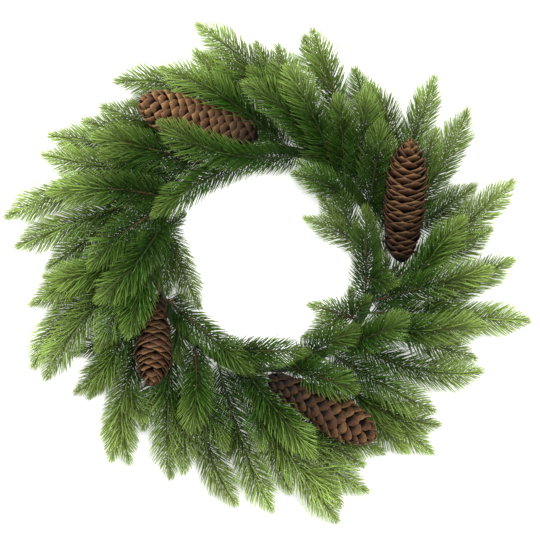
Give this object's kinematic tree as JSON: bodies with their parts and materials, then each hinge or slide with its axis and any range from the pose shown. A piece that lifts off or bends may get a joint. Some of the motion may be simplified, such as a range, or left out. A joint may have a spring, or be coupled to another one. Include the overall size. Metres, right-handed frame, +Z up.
{
  "type": "advent wreath",
  "caption": "Round evergreen wreath of forked spruce sprays wired to a hoop, with spruce cones among the needles, to lie on a table or hang on a door.",
  "frame": {"origin": "middle of the bounding box's base, on the plane that the hoop's flat underside lies on", "axes": "+Z up, out of the wreath's front face; +Y towards the top of the wreath as hung and pictured; +X towards its right"},
  "size_m": [0.524, 0.4974, 0.1104],
  "materials": {
    "wound_wire": "dark green binding wire wound on, satin",
    "spruce_needles": "matt to satin needle green, lighter and yellower at the tips",
    "cone_scales": "dry woody brown scales with paler edges, matt"
  },
  "bodies": {
    "root": {"hoop": "wound_wire", "cone_top_left": "cone_scales", "cone_right": "cone_scales", "cone_lower_left": "cone_scales", "cone_bottom": "cone_scales", "spray_01": "spruce_needles", "spray_02": "spruce_needles", "spray_03": "spruce_needles", "spray_04": "spruce_needles", "spray_05": "spruce_needles", "spray_06": "spruce_needles", "spray_07": "spruce_needles", "spray_08": "spruce_needles", "spray_09": "spruce_needles", "spray_10": "spruce_needles", "spray_11": "spruce_needles", "spray_12": "spruce_needles", "spray_13": "spruce_needles", "spray_14": "spruce_needles", "spray_15": "spruce_needles", "spray_16": "spruce_needles", "spray_17": "spruce_needles", "spray_18": "spruce_needles", "spray_19": "spruce_needles", "spray_20": "spruce_needles", "spray_21": "spruce_needles", "spray_22": "spruce_needles", "spray_23": "spruce_needles", "spray_24": "spruce_needles", "spray_25": "spruce_needles", "spray_26": "spruce_needles", "spray_27": "spruce_needles", "spray_28": "spruce_needles", "spray_29": "spruce_needles", "spray_30": "spruce_needles", "spray_31": "spruce_needles", "spray_32": "spruce_needles", "spray_33": "spruce_needles", "spray_34": "spruce_needles", "spray_35": "spruce_needles", "spray_36": "spruce_needles", "spray_37": "spruce_needles", "spray_38": "spruce_needles", "spray_39": "spruce_needles", "spray_40": "spruce_needles", "spray_41": "spruce_needles", "spray_42": "spruce_needles", "spray_43": "spruce_needles", "spray_44": "spruce_needles", "spray_45": "spruce_needles", "spray_46": "spruce_needles", "spray_47": "spruce_needles", "spray_48": "spruce_needles", "spray_49": "spruce_needles", "spray_50": "spruce_needles", "spray_51": "spruce_needles", "spray_52": "spruce_needles", "spray_53": "spruce_needles", "spray_54": "spruce_needles"}
  },
  "joints": []
}
